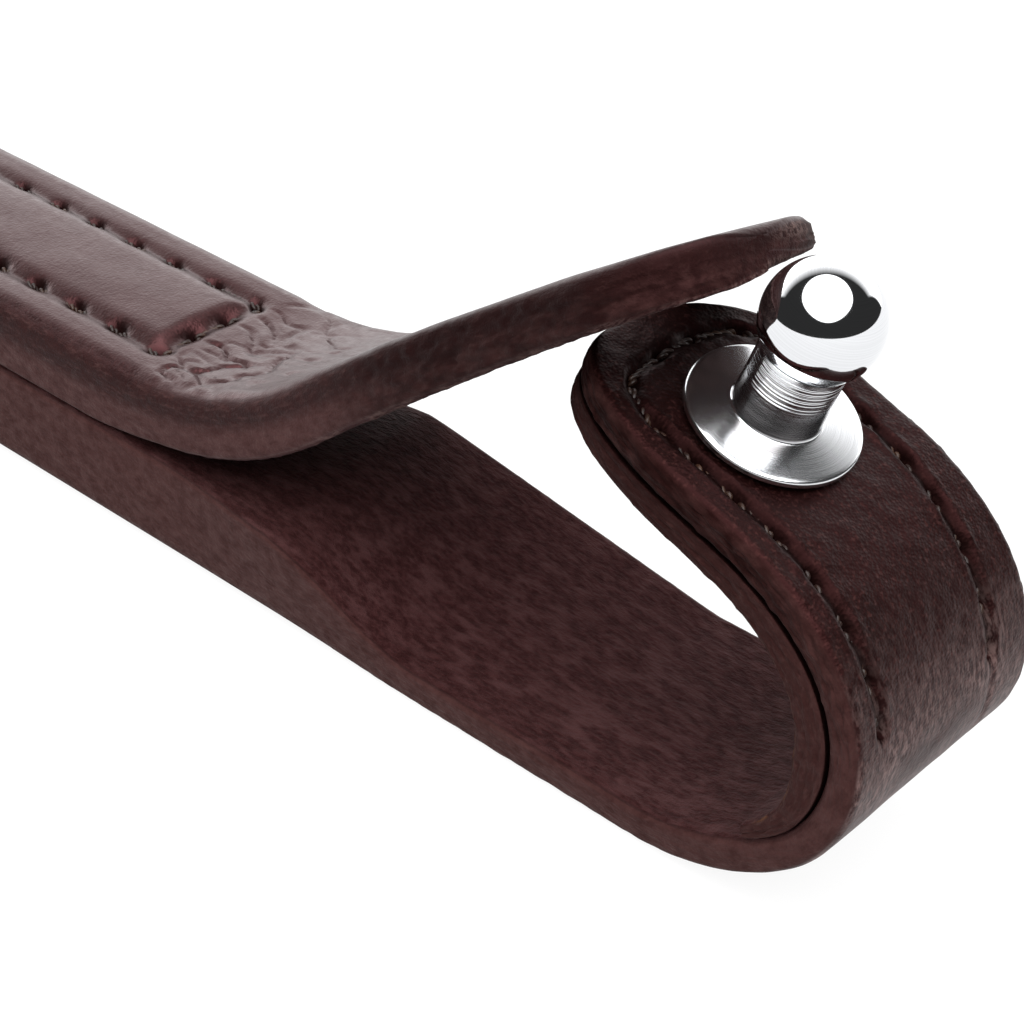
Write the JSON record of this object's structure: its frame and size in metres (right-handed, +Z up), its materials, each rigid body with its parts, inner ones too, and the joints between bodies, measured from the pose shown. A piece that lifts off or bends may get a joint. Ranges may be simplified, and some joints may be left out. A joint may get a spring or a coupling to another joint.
{
  "type": "leather strap end with ball stud",
  "caption": "Looped end of a stitched leather strap: the lower strap turns back to carry a screwed ball stud, and a tongue buttons over it.",
  "frame": {"origin": "on the flat underside of the lower strap, on its centre line, 27 mm from the cut end", "axes": "+X along the strap towards its loop, +Y across it to the far side, +Z up from the surface that it rests on"},
  "size_m": [0.1053, 0.0165, 0.0357],
  "materials": {
    "dark_brown_leather": "waxed grain, burnished edges",
    "brown_lining_leather": "matte, rough flesh side",
    "polished_chrome": "polished, fine turning marks",
    "turned_steel": "turned, satin",
    "waxed_brown_thread": "waxed twisted thread"
  },
  "bodies": {
    "root": {"upper_strap": "dark_brown_leather", "lower_strap": "dark_brown_leather", "loop_lining": "brown_lining_leather", "ball_stud": "polished_chrome", "stud_screw": "turned_steel", "strap_needle_thread": "waxed_brown_thread", "strap_bobbin_thread": "waxed_brown_thread", "loop_needle_thread": "waxed_brown_thread", "loop_bobbin_thread": "waxed_brown_thread"}
  },
  "joints": []
}
